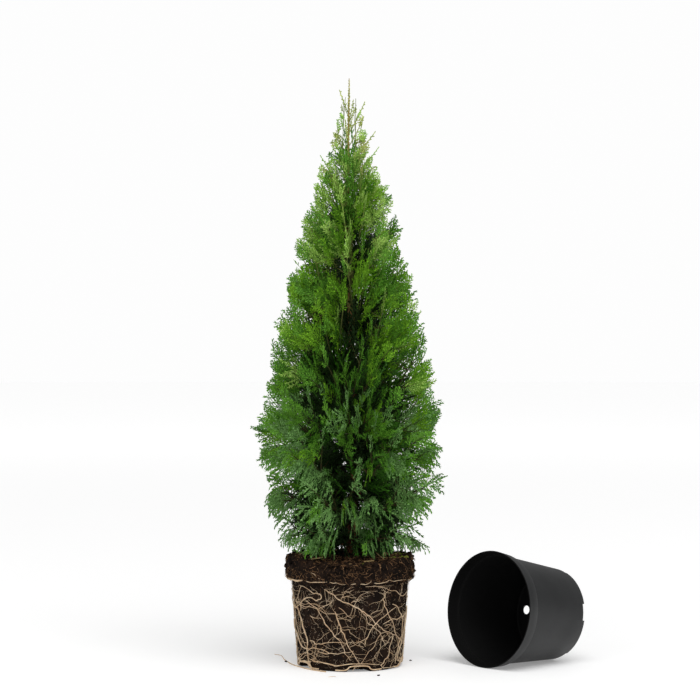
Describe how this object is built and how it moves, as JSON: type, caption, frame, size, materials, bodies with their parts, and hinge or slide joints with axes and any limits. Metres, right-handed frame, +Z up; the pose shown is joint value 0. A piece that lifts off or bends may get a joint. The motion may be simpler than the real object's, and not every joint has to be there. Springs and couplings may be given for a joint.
{
  "type": "potted thuja",
  "caption": "Young conical arborvitae with flat scale-leaf sprays, standing on its bare, root-laced root ball, with its empty black nursery pot lying on its side beside it.",
  "frame": {"origin": "middle of the root ball's flat underside, on the floor that it stands on", "axes": "+Z up along the trunk, -Y towards the front, +X to the right, where the empty pot lies"},
  "size_m": [0.5304, 0.2962, 0.949],
  "materials": {
    "soil": "dark peat held by fine roots",
    "bark": "fibrous red-brown bark",
    "foliage_low": "blue-green flat scale sprays",
    "foliage_middle": "bright green flat scale sprays",
    "foliage_high": "yellow-green young sprays",
    "pot": "black moulded plastic, soft sheen"
  },
  "bodies": {
    "root": {"root_ball": "soil", "trunk": "bark", "bough_1_1": "bark", "foliage_1_1": "foliage_low", "bough_1_2": "bark", "foliage_1_2": "foliage_low", "bough_1_3": "bark", "foliage_1_3": "foliage_low", "bough_1_4": "bark", "foliage_1_4": "foliage_low", "bough_1_5": "bark", "foliage_1_5": "foliage_low", "bough_2_1": "bark", "foliage_2_1": "foliage_low", "bough_2_2": "bark", "foliage_2_2": "foliage_low", "bough_2_3": "bark", "foliage_2_3": "foliage_low", "bough_2_4": "bark", "foliage_2_4": "foliage_low", "bough_2_5": "bark", "foliage_2_5": "foliage_low", "bough_3_1": "bark", "foliage_3_1": "foliage_low", "bough_3_2": "bark", "foliage_3_2": "foliage_low", "bough_3_3": "bark", "foliage_3_3": "foliage_low", "bough_3_4": "bark", "foliage_3_4": "foliage_low", "bough_3_5": "bark", "foliage_3_5": "foliage_low", "foliage_4_1": "foliage_middle", "foliage_4_2": "foliage_middle", "foliage_4_3": "foliage_middle", "foliage_4_4": "foliage_middle", "foliage_4_5": "foliage_middle", "foliage_5_1": "foliage_middle", "foliage_5_2": "foliage_middle", "foliage_5_3": "foliage_middle", "foliage_5_4": "foliage_middle", "foliage_6_1": "foliage_middle", "foliage_6_2": "foliage_middle", "foliage_6_3": "foliage_middle", "foliage_6_4": "foliage_middle", "foliage_7_1": "foliage_middle", "foliage_7_2": "foliage_middle", "foliage_7_3": "foliage_middle", "foliage_7_4": "foliage_middle", "foliage_8_1": "foliage_high", "foliage_8_2": "foliage_high", "foliage_8_3": "foliage_high", "foliage_9_1": "foliage_high", "foliage_9_2": "foliage_high", "foliage_9_3": "foliage_high", "foliage_10_1": "foliage_high", "foliage_10_2": "foliage_high", "foliage_11_1": "foliage_high", "foliage_11_2": "foliage_high", "pot": "pot"}
  },
  "joints": []
}
